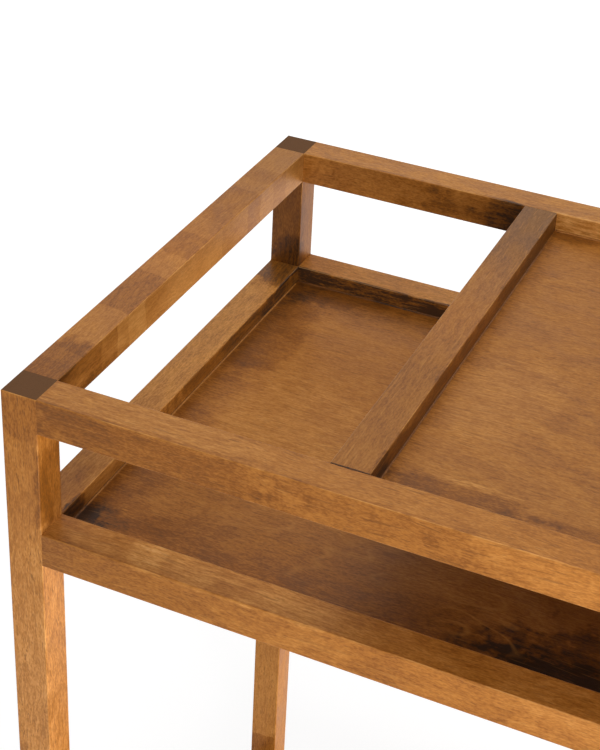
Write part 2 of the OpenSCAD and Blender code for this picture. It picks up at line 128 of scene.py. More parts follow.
class Graph:
    """Node tree of one material, with a short call for each node that the finishes use"""

    def __init__(self, name):
        self.material = bpy.data.materials.new(name)
        self.material.use_nodes = True
        self.tree = self.material.node_tree
        self.tree.nodes.clear()
        self.coords = self.node("ShaderNodeTexCoord")

    def node(self, kind, settings=None, **inputs):
        made = self.tree.nodes.new(kind)
        for key, value in (settings or {}).items():
            setattr(made, key, value)
        for key, value in inputs.items():
            self.feed(made.inputs[key.replace("_", " ")], value)
        return made

    def feed(self, socket, value):
        """Links a socket to the input, or sets a plain value on it"""
        if isinstance(value, bpy.types.NodeSocket):
            self.tree.links.new(value, socket)
        else:
            socket.default_value = value

    def math(self, operation, first, second=0.0, clamp=False):
        made = self.tree.nodes.new("ShaderNodeMath")
        made.operation = operation
        made.use_clamp = clamp
        self.feed(made.inputs[0], first)
        self.feed(made.inputs[1], second)
        return made.outputs[0]

    def vector(self, operation, first, second=(0, 0, 0)):
        made = self.tree.nodes.new("ShaderNodeVectorMath")
        made.operation = operation
        self.feed(made.inputs[0], first)
        self.feed(made.inputs[1], second)
        return made.outputs["Value" if operation == "LENGTH" else "Vector"]

    def noise(self, vector, scale, detail=2.0, roughness=0.5, distortion=0.0, output="Fac"):
        return self.node(
            "ShaderNodeTexNoise", Vector=self.vector("MULTIPLY", vector, scale), Scale=1.0,
            Detail=detail, Roughness=roughness, Distortion=distortion,
        ).outputs[output]

    def layer(self, vector, *noise):
        """Noise spread over the whole range from 0 to 1"""
        return self.step(self.noise(vector, *noise), *NOISE_SPREAD)

    def marks(self, vector, scale, low, high):
        """1 in the thin marks where plain noise is above high, and 0 where it is below low"""
        return self.step(self.noise(vector, scale, 1), low, high)

    def oval(self, centre, radii, wobble=0.0):
        """1 inside an uneven oval round centre, and 0 outside it"""
        offset = self.vector("SUBTRACT", self.coords.outputs["Object"], centre)
        reach = self.vector("LENGTH", self.vector("DIVIDE", offset, radii))
        return self.step(self.math("ADD", reach, wobble), *OVAL_RIM)

    def step(self, value, low, high, start=0.0, end=1.0):
        """Smooth change from start to end while value goes from low to high"""
        made = self.node("ShaderNodeMapRange", {"interpolation_type": "SMOOTHSTEP"})
        sockets = ("Value", "From Min", "From Max", "To Min", "To Max")
        for socket, number in zip(sockets, (value, low, high, start, end)):
            self.feed(made.inputs[socket], number)
        return made.outputs["Result"]

    def mix(self, factor, first, second, blend="MIX"):
        made = self.tree.nodes.new("ShaderNodeMix")
        made.data_type = "RGBA"
        made.blend_type = blend
        self.feed(made.inputs["Factor"], factor)
        self.feed(made.inputs["A"], colour(first))
        self.feed(made.inputs["B"], colour(second))
        return made.outputs["Result"]

    def ramp(self, value, stops):
        stops = list(stops)
        made = self.tree.nodes.new("ShaderNodeValToRGB")
        elements = made.color_ramp.elements
        while len(elements) < len(stops):
            elements.new(0.5)
        for element, (place, tint) in zip(elements, stops):
            element.position = place
            element.color = colour(tint)
        self.feed(made.inputs["Fac"], value)
        return made.outputs["Color"]

    def bump(self, height, strength, distance):
        made = self.node("ShaderNodeBump", Height=height, Strength=strength, Distance=distance)
        return made.outputs["Normal"]

    def finish(self, **inputs):
        """Ends the tree in a Principled shader with these inputs"""
        shader = self.node("ShaderNodeBsdfPrincipled", **inputs)
        output = self.node("ShaderNodeOutputMaterial")
        self.tree.links.new(shader.outputs["BSDF"], output.inputs["Surface"])
        return self.material


def colour(value):
    """Adds the alpha that a colour socket wants, and leaves a linked socket as it is"""
    if isinstance(value, bpy.types.NodeSocket) or len(value) == 4:
        return value
    return (*value, 1.0)


def tinted(base, tint):
    return tuple(b * t for b, t in zip(base, tint))


def grey(*levels):
    return tuple((level,) * 3 for level in levels)


# Stained wood, in linear colours; the darkest, WOOD_SHADE, is reached mostly where painted shade darkens the
# tone
WOOD_SHADE = (0.031, 0.0118, 0.0038)
WOOD_DARK = (0.215, 0.068, 0.006)
WOOD_MID = (0.362, 0.133, 0.020)
WOOD_LIGHT = (0.545, 0.241, 0.055)
WOOD_PALE = (0.660, 0.340, 0.105)
STAIN = ((0.0, WOOD_SHADE), (0.3, WOOD_DARK), (0.5, WOOD_MID), (0.8, WOOD_LIGHT), (1.0, WOOD_PALE))
PORE_COLOUR = tinted(WOOD_DARK, (0.45, 0.42, 0.4))
END_GRAIN = (0.115, 0.049, 0.016)
PRICK_COLOUR = tinted(END_GRAIN, (0.6, 0.6, 0.6))

# Gloss and relief of the lacquer over the wood
WOOD_SPECULAR = 0.22
WOOD_ROUGHNESS = (0.38, 0.48)
END_ROUGHNESS = 0.78
WOOD_BUMP = (0.3, 0.0002)
FINE_HEIGHT = 0.5

# Layers of the wood's figure
LAYERS = {
    # share of the tone, noise scales along and across the grain, detail, roughness, distortion
    "rings": (0.035, (2.5, 38, 38), 2, 0.5, 0.6),
    "fibre": (0.060, (30, 330, 330), 2, 0.5, 0.0),
    "fine": (0.130, (85, 520, 520), 3, 0.6, 0.3),
    "speckle": (0.115, (330, 900, 900), 1, 0.5, 0.0),
    "patches": (0.110, (17, 30, 30), 4, 0.6, 0.8),
    "drift": (0.050, (5, 5, 5), 1, 0.5, 0.0),
}
FIBROUS = ("rings", "fibre")
MIDDLE_TONE = 0.5
GRAIN_TURNS = {"X": (0, 0, 0), "Y": (0, 0, -math.pi / 2), "Z": (0, math.pi / 2, 0)}

# How far the fibres sway, and the noise that makes the edges of marks uneven
SWAY_NOISE = ((9, 9, 9), 1)
SWAY = (0, 0.016, 0.016)
WOBBLE_NOISE = ((60, 60, 60), 3, 0.6)
BLOCK_WOBBLE = 0.012
OVAL_WOBBLE = 1.8
EDGE_SHADE_WOBBLE = 0.025

# Strength of an oval in the darkest grain, and what a light layer of the grain adds to it
OVAL_LEAST = 0.5
OVAL_GRAIN = 0.45

# Thin marks in the wood, as noise scales along and across the grain, and limits of the noise
PORES = ((130, 900, 900), 0.59, 0.70)
DARK_LINES = ((26, 520, 520), 0.63, 0.71)
HAIRS = ((22, 620, 620), 0.62, 0.72)
PRICKS = ((300, 1500, 1500), 0.55, 0.70)
PRICK_STRENGTH = 0.5

# Curls of a swirl, as the noise that they are contours of, their number and their width
SWIRL_NOISE = ((8, 24, 24), 1.5, 0.5, 0.3)
SWIRL_CONTOURS = 6.0
SWIRL_LINE = 0.12

# Limits between which a face counts as square to an axis, as end grain, or as a rounded edge
SQUARE_FACE = (0.6, 0.8)
END_FACE = (0.8, 0.97)
ROUNDED = (0.97, 0.80)

# Half the width of the edges between blocks, and where the painted shade along a panel's edges starts to
# fade
BLOCK_EDGE = 0.0007
EDGE_SHADE_START = -0.004

# How the patches weaken the pores and the lightened edges, which are partly wear and partly a painted
# highlight, as limits and strengths
PORE_PATCHES = (0.1, 0.9, 0.4, 1.0)
WEAR_AND_HIGHLIGHT_PATCHES = (0.25, 0.95, 0.15, 1.0)


def wood_figure(g, along, turned, straight):
    """The layers of noise by their names, and the tone that they add up to"""
    layers = {}
    shares = {}
    for kind, (share, *noise) in LAYERS.items():
        layers[kind] = g.layer(turned if kind == "drift" else along, *noise)
        shares[kind] = share * straight if kind in FIBROUS else share
    tone = MIDDLE_TONE - sum(shares.values()) / 2
    for kind, layer in layers.items():
        tone = g.math("ADD", g.math("MULTIPLY", layer, shares[kind]), tone)
    return layers, tone


def block_tone(g, grain, at, facing, wobble, axis, slant, edges):
    """Changes of tone at abrupt edges across the grain, on the faces square to the axis.

    slant is how much the edges lean. Each edge has its place along the grain and the
    rise from there on. One that lies before the member changes all of it."""
    across = "X" if grain == "Y" else "Y"
    reach = g.math("ADD", at.outputs[grain], g.math("MULTIPLY", at.outputs[across], slant))
    reach = g.math("ADD", reach, g.math("MULTIPLY", wobble, BLOCK_WOBBLE))
    tone = 0.0
    for edge, rise in edges:
        tone = g.math("ADD", g.step(reach, edge - BLOCK_EDGE, edge + BLOCK_EDGE, 0.0, rise), tone)
    return g.math("MULTIPLY", tone, g.step(g.math("ABSOLUTE", facing.outputs[axis]), *SQUARE_FACE))


def edge_shade_tone(g, at, wobble, low, high, width, rise):
    """Painted shade: a change of tone along the edges of a panel's opening between the corners low and high,
    where the rails round it shade the panel
    """
    margins = []
    for axis, start, end in zip("XY", low, high):
        margins.append(g.math("SUBTRACT", at.outputs[axis], start))
        margins.append(g.math("SUBTRACT", end, at.outputs[axis]))
    margin = g.math("MINIMUM", g.math("MINIMUM", *margins[:2]), g.math("MINIMUM", *margins[2:]))
    margin = g.math("ADD", margin, g.math("MULTIPLY", wobble, EDGE_SHADE_WOBBLE))
    return g.step(margin, EDGE_SHADE_START, width, rise, 0.0)


def wood_cast(g, tints, place, span):
    """One tint, or several that follow each other over the span; on many members they carry painted light,
    shade and sheen besides the timber's tone
    """
    if len(tints) == 1:
        return tints[0]
    last = len(tints) - 1
    return g.ramp(g.step(place, *span), [(i / last, tint) for i, tint in enumerate(tints)])


def swirl_lines(g, along, centre, radii, strength):
    """Thin curls inside an oval, at even contours of a noise"""
    waves = g.math("MULTIPLY", g.noise(along, *SWIRL_NOISE), SWIRL_CONTOURS)
    contour = g.step(g.math("PINGPONG", waves, 0.5), SWIRL_LINE, 0.0)
    return g.math("MULTIPLY", g.math("MULTIPLY", contour, g.oval(centre, radii)), strength)


def wood(
    name, grain, place, span, tints=((1.1, 1.1, 1.1),), straight=0.6, flecks=0.3, streaks=0.25, hairs=0.15,
    blocks=(), ovals=(), swirls=(), edge_shade=None, worn_and_highlit=0.45,
):
    """Stained wood whose grain runs along that axis.

    place moves the pattern, so that each member is cut from another piece of timber.
    span is where the member begins and ends along its grain, and tints are the casts
    that its colour takes on the way: the timber's own tone, and on many members painted
    light, painted shade and painted sheen as well. straight is the strength of the long
    fibres, flecks that of the short dark pores, streaks of long dark lines and hairs of
    long light ones. blocks are sets of stretches with abrupt edges, each with its axis, its
    slant and its edges: mostly the timber's figure, and on the posts and a left rail's
    inner face painted light and painted shadow edges. ovals are soft dark or light places
    that the grain breaks up: mostly painted shade in corners, recesses and under the tray,
    and painted light where light falls, besides dark joints and patches of tone. swirls
    are knots drawn in thin light lines. ovals and swirls each have a centre, radii and a
    strength. edge_shade gives the low and high corner of a panel's opening, along whose
    edges painted shade darkens the panel, how far in it does so, and the change of tone
    there. worn_and_highlit is the lightening of the rounded edges, partly wear and partly
    a painted highlight."""
    g = Graph(name)
    here = g.coords.outputs["Object"]
    at = g.node("ShaderNodeSeparateXYZ", Vector=here)
    facing = g.node("ShaderNodeSeparateXYZ", Vector=g.coords.outputs["Normal"])
    turned = g.node("ShaderNodeMapping", Vector=here, Location=place, Rotation=GRAIN_TURNS[grain])
    turned = turned.outputs["Vector"]
    sway = g.vector("SUBTRACT", g.noise(turned, *SWAY_NOISE, output="Color"), (0.5, 0.5, 0.5))
    along = g.vector("ADD", turned, g.vector("MULTIPLY", sway, SWAY))
    wobble = g.math("SUBTRACT", g.noise(turned, *WOBBLE_NOISE), 0.5)

    layers, tone = wood_figure(g, along, turned, straight)
    patches = layers["patches"]
    # Blocks: the timber's figure, and on the posts and a left rail's inner face painted light and shadow
    # edges
    for block in blocks:
        tone = g.math("ADD", tone, block_tone(g, grain, at, facing, wobble, *block))
    broken = g.math("MULTIPLY", g.math("ADD", layers["fibre"], layers["fine"]), OVAL_GRAIN)
    broken = g.math("ADD", broken, OVAL_LEAST)
    # Ovals: painted shade and painted light in many places, besides dark joints and patches of tone
    for centre, radii, rise in ovals:
        spot = g.oval(centre, radii, g.math("MULTIPLY", wobble, OVAL_WOBBLE))
        tone = g.math("ADD", tone, g.math("MULTIPLY", g.math("MULTIPLY", spot, rise), broken))
    # Painted shade along the edges of a panel's opening
    if edge_shade:
        tone = g.math("ADD", tone, edge_shade_tone(g, at, wobble, *edge_shade))
    stain = g.ramp(g.math("ADD", tone, 0.0, clamp=True), STAIN)
    # The tints carry painted light, shade and sheen on many members besides the timber's tone
    stain = g.mix(1.0, stain, wood_cast(g, tints, at.outputs[grain], span), "MULTIPLY")

    pores = g.math("MULTIPLY", g.marks(along, *PORES), g.step(patches, *PORE_PATCHES))
    lines = g.marks(along, *DARK_LINES)
    dark = g.math("MAXIMUM", g.math("MULTIPLY", pores, flecks), g.math("MULTIPLY", lines, streaks))
    stain = g.mix(dark, stain, PORE_COLOUR)
    light = g.math("MULTIPLY", g.marks(along, *HAIRS), hairs)
    for swirl in swirls:
        light = g.math("MAXIMUM", light, swirl_lines(g, along, *swirl))
    stain = g.mix(light, stain, WOOD_LIGHT)

    sizes = [g.math("ABSOLUTE", facing.outputs[axis]) for axis in "XYZ"]
    end_face = g.step(sizes["XYZ".index(grain)], *END_FACE)
    pricks = g.math("MULTIPLY", g.marks(along, *PRICKS), PRICK_STRENGTH)
    stain = g.mix(end_face, stain, g.mix(pricks, END_GRAIN, PRICK_COLOUR))
    # The rounded edges lighten towards the palest stain, partly wear and partly a painted highlight
    largest = g.math("MAXIMUM", g.math("MAXIMUM", sizes[0], sizes[1]), sizes[2])
    edge = g.math("MULTIPLY", g.step(largest, *ROUNDED), g.step(patches, *WEAR_AND_HIGHLIGHT_PATCHES))
    stain = g.mix(g.math("MULTIPLY", edge, worn_and_highlit), stain, WOOD_PALE)

    height = g.math("SUBTRACT", g.math("MULTIPLY", layers["fine"], FINE_HEIGHT), pores)
    sheen = g.step(patches, 0.0, 1.0, *WOOD_ROUGHNESS)
    sheen = g.math("MAXIMUM", sheen, g.math("MULTIPLY", end_face, END_ROUGHNESS))
    return g.finish(
        Base_Color=stain, Roughness=sheen, Normal=g.bump(height, *WOOD_BUMP),
        Specular_IOR_Level=WOOD_SPECULAR,
    )


# How far a mark reaches square to its face: on a rail, on a panel, on a left rail's inner face
THIN = 0.004
THROUGH = 0.02
SKIN = 0.0012

# Plane of the marks on the left rails' inner faces, off the wood so that they stay on that face
LEFT_SKIN = LEFT_INSIDE + 0.0005


def flat(level, *spots):
    """Marks on a panel at that level, each from its place, its radii and its strength"""
    return tuple(((*place, level), (*radii, THROUGH), strength) for place, radii, strength in spots)


# What the wooden members show, as arguments of wood. Much of it is painted light and shade:
# the tints lighten, darken and whiten stretches of many members where light, shade and sheen
# fall, most dark ovals are painted shade in corners, recesses and under the tray, and some
# light ovals are painted light
LOOKS = {
    # Painted shade: the dark ovals and the dark near end of the X blocks darken the front end of the top and
    # of the inner face, where the front rail and post shade them; the other blocks are the rail's figure
    "top_rail_left": {
        "tints": ((0.95, 0.95, 0.95), (1.06, 1.02, 0.98), (0.80, 0.80, 0.80)),
        "straight": 0.4, "flecks": 0.15, "streaks": 0.0,
        "ovals": (
            ((LEFT_MIDDLE, -0.205, RIM_TOP), (0.030, 0.038, THIN), -0.20),
            ((LEFT_SKIN, -0.181, 0.897), (SKIN, 0.016, 0.009), -0.15),
            ((LEFT_SKIN, -0.150, 0.897), (SKIN, 0.040, 0.008), -0.10),
        ),
        "blocks": (
            ("Z", 0.15, (
                (-0.2585, 0.06), (-0.2425, -0.07), (-0.2225, 0.09), (-0.1725, -0.13), (-0.1105, 0.13),
                (-0.0725, -0.12), (-0.0325, 0.09), (-0.0025, -0.07), (0.0645, 0.09), (0.0845, -0.08),
                (0.1095, 0.09),
            )),
            ("X", 0.0, (
                (-0.400, -0.065), (-0.155, 0.10), (-0.132, 0.20), (-0.113, 0.105), (-0.087, -0.165),
                (-0.050, 0.075), (0.022, 0.045), (0.050, -0.13), (0.100, -0.14), (0.126, 0.15),
                (0.152, -0.10), (0.180, 0.13),
            )),
        ),
    },
    # Painted light and shade: the tints lighten the rail towards its right end, the dark ovals darken the
    # left of its front face, and the light ones lighten its top and the right of the face; the thin dark
    # oval at the crossbar is the joint
    "top_rail_front": {
        "tints": grey(0.98, 1.05, 1.22, 1.60), "straight": 0.35, "flecks": 0.35, "streaks": 0.45,
        "ovals": (
            ((-0.300, FRONT_FACE, 0.908), (0.100, THIN, 0.03), -0.17),
            ((-0.140, FRONT_FACE, 0.908), (0.080, THIN, 0.03), -0.12),
            ((-0.310, FRONT_MIDDLE, RIM_TOP), (0.085, 0.02, THIN), 0.12),
            ((-0.092, FRONT_FACE, 0.908), (0.006, 0.02, 0.004), -0.10),
            ((BAR_MIDDLE, -0.2192, RIM_TOP), (0.0165, 0.0009, THIN), -0.50),
            ((0.120, FRONT_FACE, 0.912), (0.090, 0.02, 0.02), 0.05),
        ),
    },
    # Painted shade, light and sheen: the dark ovals darken the inner face left of the crossbar where it and
    # the well shade it, the light one lightens it right of the crossbar, and the tints lighten and whiten
    # the rail
    "top_rail_back": {
        "tints": ((1.20, 1.28, 1.5), (1.15, 1.24, 1.45), (1.5, 1.6, 1.9)),
        "ovals": (
            ((-0.320, BACK_INSIDE, 0.905), (0.070, THIN, 0.03), -0.14),
            ((-0.215, BACK_INSIDE, 0.905), (0.055, THIN, 0.03), -0.18),
            ((-0.190, BACK_INSIDE, 0.905), (0.026, 0.002, 0.03), -0.24),
            ((-0.095, BACK_INSIDE, 0.914), (0.065, 0.003, 0.02), 0.20),
        ),
    },
    "top_rail_right": {
        "tints": grey(1.1, 1.15),
        "blocks": (("Z", -0.15, ((-0.14, -0.08), (0.02, 0.10), (0.10, -0.06))),),
    },
    # Painted light: the broad light ovals on the top, where light reaches it beneath the top rail; the two
    # small light ovals lighten two spots of the top, and the dark ones darken two stretches of the front
    # face
    "shelf_rail_front": {
        "tints": grey(0.98, 1.15, 1.12, 1.10), "straight": 0.8, "hairs": 0.3,
        "ovals": (
            ((-0.350, FRONT_FACE, 0.786), (0.090, THIN, 0.03), -0.08),
            ((-0.080, FRONT_FACE, 0.786), (0.070, THIN, 0.03), -0.07),
            ((-0.270, FRONT_MIDDLE, SHELF_RIM_TOP), (0.100, 0.02, THIN), 0.10),
            ((-0.312, -0.230, SHELF_RIM_TOP), (0.014, 0.02, 0.006), 0.16),
            ((-0.272, -0.236, SHELF_RIM_TOP), (0.016, 0.02, 0.006), 0.12),
            ((-0.190, FRONT_MIDDLE, SHELF_RIM_TOP), (0.050, 0.02, THIN), 0.10),
        ),
    },
    # Painted light, sheen and shade: the tints lighten and whiten the back of the rail, and the dark ovals
    # are shade in the front corner of the inner face, at the back corner under the top rail and along the
    # inner face, with a small one on the top
    "shelf_rail_left": {
        "tints": ((1.0, 1.0, 1.0), (1.52, 1.72, 2.2), (1.52, 1.72, 2.2)), "flecks": 0.2, "streaks": 0.1,
        "ovals": (
            ((LEFT_INSIDE, -0.207, 0.793), (THIN, 0.020, 0.014), -0.45),
            ((-0.407, -0.164, SHELF_RIM_TOP), (0.006, 0.012, THIN), -0.10),
            ((LEFT_MIDDLE, 0.218, SHELF_RIM_TOP), (0.025, 0.040, THIN), -0.30),
            ((LEFT_SKIN, 0.190, 0.793), (SKIN, 0.050, 0.016), -0.17),
            ((LEFT_SKIN, 0.080, 0.793), (SKIN, 0.150, 0.030), -0.27),
            ((LEFT_SKIN, 0.100, 0.793), (SKIN, 0.050, 0.030), -0.09),
        ),
    },
    # Painted shade and sheen: the first oval is a band of shade along the inner face under the back top
    # rail, the second darkens the top at the left corner, and the tints lighten and whiten the rail
    "shelf_rail_back": {
        "tints": ((1.55, 1.70, 2.10), (1.55, 1.70, 2.10), (1.4, 1.5, 1.7)),
        "ovals": (
            ((-0.280, BACK_INSIDE, 0.790), (0.170, 0.002, 0.024), -0.50),
            ((-0.385, BACK_MIDDLE, SHELF_RIM_TOP), (0.035, 0.02, THIN), -0.12),
        ),
    },
    # The tints darken and grey the back end, partly the timber's tone and partly painted sheen; the first
    # two dark ovals are painted shade on the right face, and the thin one at the front end is the joint
    "crossbar": {
        "tints": (
            (0.78, 0.77, 0.74), (0.77, 0.76, 0.74), (0.94, 0.93, 0.93), (0.84, 0.85, 0.95),
            (0.50, 0.54, 0.72),
        ),
        "straight": 0.3, "flecks": 0.12, "streaks": 0.0, "hairs": 0.28,
        "ovals": (
            ((BAR_RIGHT, 0.0, 0.905), (THIN, 0.300, 0.018), -0.22),
            ((BAR_RIGHT, -0.205, 0.912), (THIN, 0.020, 0.018), -0.30),
            ((BAR_MIDDLE, -0.2188, RIM_TOP), (0.0165, 0.0007, THIN), -0.50),
        ),
    },
    # Painted shade: the dark ovals in the corners beside the crossbar, and the shade along the opening's
    # edges; the other dark ovals darken the front edge, and the light ones lighten a streak and a patch
    "tray_panel": {
        "tints": grey(0.95, 1.0), "straight": 0.4, "flecks": 0.35,
        "ovals": flat(
            TRAY_TOP,
            ((-0.142, -0.210), (0.009, 0.014), -0.35),
            ((-0.085, -0.191), (0.052, 0.014), -0.18),
            ((-0.135, 0.213), (0.030, 0.010), -0.15),
            ((0.010, -0.198), (0.070, 0.014), -0.14),
            ((-0.085, -0.176), (0.030, 0.004), 0.14),
            ((-0.105, -0.064), (0.045, 0.050), 0.09),
        ),
        "swirls": flat(TRAY_TOP, ((-0.080, -0.080), (0.050, 0.050), 0.25)),
        "edge_shade": (*TRAY_OPENING, 0.024, -0.15),
    },
    # Painted shade: the tints darken the right of the panel under the tray, and the dark ovals and the edge
    # shade darken its corners, its left edge, the strips behind the front rails and the part under the tray;
    # the light oval lightens the middle of the well
    "shelf_panel": {
        "tints": grey(0.95, 0.90, 0.62, 0.60), "straight": 0.4, "flecks": 0.35,
        "ovals": flat(
            SHELF_TOP,
            ((-0.377, -0.197), (0.026, 0.020), -0.12),
            ((-0.390, -0.205), (0.018, 0.022), -0.26),
            ((0.070, -0.190), (0.120, 0.050), -0.32),
            ((-0.200, -0.180), (0.220, 0.030), -0.07),
            ((-0.365, 0.214), (0.060, 0.030), -0.12),
            ((-0.372, 0.125), (0.030, 0.085), -0.13),
            ((-0.010, -0.205), (0.100, 0.020), -0.12),
            ((-0.300, -0.010), (0.070, 0.060), 0.10),
            ((-0.335, -0.120), (0.040, 0.035), -0.06),
        ),
        "swirls": flat(
            SHELF_TOP,
            ((-0.060, -0.162), (0.040, 0.036), 0.30),
            ((-0.215, -0.155), (0.070, 0.036), 0.22),
        ),
        "edge_shade": (*RING_OPENING, 0.060, -0.20),
    },
    "base_panel": {
        "tints": grey(1.0, 0.95), "straight": 0.4, "flecks": 0.35,
        # Painted shade along the edges of the panel's opening
        "edge_shade": (*RING_OPENING, 0.026, -0.14),
    },
    "base_rail_front": {"tints": grey(1.0, 0.95)},
    "base_rail_left": {"tints": grey(1.05, 1.0)},
    "base_rail_right": {
        "tints": grey(0.95, 1.0),
        "blocks": (("X", 0.1, ((-0.10, 0.08), (0.06, -0.10), (0.15, 0.07))),),
    },
    # Painted light, sheen and shade: the tints lighten and whiten the lower middle of the post, the block
    # darkens its side faces below the shelf rail, the first dark oval is shade on the inner side between the
    # rails, and the second darkens the top of the front face
    "post_front_left": {
        "tints": (
            (1.05, 1.05, 1.05), (1.1, 1.1, 1.1), (1.35, 1.45, 2.0), (1.50, 1.73, 2.8), (1.1, 1.1, 1.1),
        ),
        "flecks": 0.6, "streaks": 0.2,
        "ovals": (
            ((LEFT_INSIDE, FRONT_MIDDLE, 0.843), (0.006, 0.030, 0.036), -0.20),
            ((-0.412, FRONT_FACE, 0.905), (0.018, THIN, 0.022), -0.12),
        ),
        "blocks": (("X", 0.0, ((-1.0, -0.10), (0.775, 0.10))),),
    },
    # Painted light and shade: the blocks lighten the front face between a shadow edge near the base shelf
    # and the shelf above, the tints lighten the lower middle and darken the top, and the ovals are shade on
    # the front face above the shelf
    "post_back_left": {
        "tints": grey(1.05, 1.1, 1.3, 1.15, 0.75), "flecks": 0.4, "streaks": 0.2,
        "ovals": (
            ((-0.405, BACK_INSIDE, 0.815), (0.020, 0.015, 0.022), -0.22),
            ((LEFT_MIDDLE, BACK_INSIDE, 0.850), (0.030, 0.010, 0.060), -0.14),
        ),
        "blocks": (("Y", 0.1, ((-1.0, -0.05), (0.194, 0.22), (0.450, -0.17))),),
    },
    "post_front_right": {"tints": grey(1.0, 1.05, 1.15, 1.2)},
    "post_back_right": {"tints": grey(1.0, 1.0, 1.1, 1.1)},
}

# Step through the timber from one member's place to the next
TIMBER_STEP = (1.37, 0.91, 0.53)


def grain_of(node):
    """Axis that a wooden node's grain runs along, and None for the other nodes"""
    if node.startswith("post_"):
        return "Z"
    if node == "crossbar" or node.endswith(("_rail_left", "_rail_right")):
        return "Y"
    if "_rail_" in node or node.endswith("_panel"):
        return "X"
    return None


def dress_wood():
    """Gives each wooden member its own piece of timber"""
    members = [node for node in sorted(nodes) if grain_of(node)]
    for count, node in enumerate(members, start=1):
        grain = grain_of(node)
        place = [step * count for step in TIMBER_STEP]
        span = [corner["XYZ".index(grain)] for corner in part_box(node)]
        assign(node, wood("wood_" + node, grain, place, span, **LOOKS.get(node, {})))


def assign(node, material):
    """Puts the material in every slot of a CAD node"""
    mesh = nodes[node].data
    if not mesh.materials:
        mesh.materials.append(material)
    for i in range(len(mesh.materials)):
        mesh.materials[i] = material


# Skins of the castors: scales, detail and roughness of the noise, and strength and depth of relief
CLOUDS = ((90, 90, 90), 3, 0.6)
PLATED_SKIN = ((900, 900, 900), 2, 0.6)
PLATED_BUMP = (0.12, 0.0001)
NYLON_SKIN = ((2500, 2500, 2500), 3, 0.65)
NYLON_BUMP = (0.30, 0.0001)
DUST = ((60, 60, 60), 3, 0.6)

# Limits and shares of the noise in the metals and the nylon, and how far the roughness strays
CLOUD_TONES = (0.3, 0.7)
CLOUD_LIMITS = (0.4, 1.0)
PLATED_SKIN_SHARE = 0.4
NYLON_TONES = (0.35, 0.75)
NYLON_LIMITS = (0.3, 0.7)
NYLON_DUST_SHARE = 0.7
NYLON_SKIN_SHARE = 0.3
SMOOTHER = 0.06
ROUGHER_METAL = 0.10
ROUGHER_NYLON = 0.08

# Linear colours of the castors, and the roughness of the metals and the nylon
STEEL = ((0.52, 0.52, 0.51), 0.32)
BRIGHT_STEEL = ((0.60, 0.59, 0.57), 0.24)
BRASS = ((0.72, 0.52, 0.22), 0.28)
PLATED_SHADE = (0.86, 0.86, 0.85)
NYLON = ((0.022, 0.022, 0.023), 0.42)
NYLON_DUST = (1.45, 1.43, 1.4)
RUBBER = (0.050, 0.050, 0.051)
RUBBER_DUSTY = (0.078, 0.077, 0.075)
RUBBER_SCUFFED = (0.140, 0.138, 0.132)

# Tyres
RUBBER_SKIN = ((1500, 1500, 1500), 3, 0.65)
RUBBER_BUMP = (0.45, 0.0002)
RUBBER_TONES = (0.35, 0.75)
RUBBER_LIMITS = (0.3, 1.0)
RUBBER_ROUGHNESS = (0.60, 0.82)
RUBBER_SKIN_HEIGHT = 0.35
SCUFFS = ((160, 90, 160), 4, 0.65)
SCUFF_STRENGTH = 0.55
SCUFF_ROUGHNESS = 0.3
SIDEWALL = (0.75, 0.95)
TREAD_RADIUS = (0.0240, 0.0248)
RIBS_PER_METRE = 950.0
RIB_EDGE = (0.1, 0.4)


def plated(name, base, rough):
    """Metal with small changes of colour and roughness, and a faint skin"""
    g = Graph(name)
    place = g.coords.outputs["Object"]
    cloud = g.noise(place, *CLOUDS)
    skin = g.noise(place, *PLATED_SKIN)
    tone = g.ramp(cloud, zip(CLOUD_TONES, (tinted(base, PLATED_SHADE), base)))
    uneven = g.math("ADD", cloud, g.math("MULTIPLY", skin, PLATED_SKIN_SHARE))
    roughness = g.step(uneven, *CLOUD_LIMITS, rough - SMOOTHER, rough + ROUGHER_METAL)
    return g.finish(Base_Color=tone, Metallic=1.0, Roughness=roughness, Normal=g.bump(skin, *PLATED_BUMP))


def moulded(name, base, rough):
    """Moulded nylon: a fine pebbled skin, with dust in its low places"""
    g = Graph(name)
    place = g.coords.outputs["Object"]
    skin = g.noise(place, *NYLON_SKIN)
    dust = g.noise(place, *DUST)
    lying = g.math("MULTIPLY", skin, NYLON_SKIN_SHARE)
    lying = g.math("ADD", g.math("MULTIPLY", dust, NYLON_DUST_SHARE), lying)
    tone = g.ramp(lying, zip(NYLON_TONES, (base, tinted(base, NYLON_DUST))))
    roughness = g.step(dust, *NYLON_LIMITS, rough - SMOOTHER, rough + ROUGHER_NYLON)
    return g.finish(Base_Color=tone, Roughness=roughness, Normal=g.bump(skin, *NYLON_BUMP))


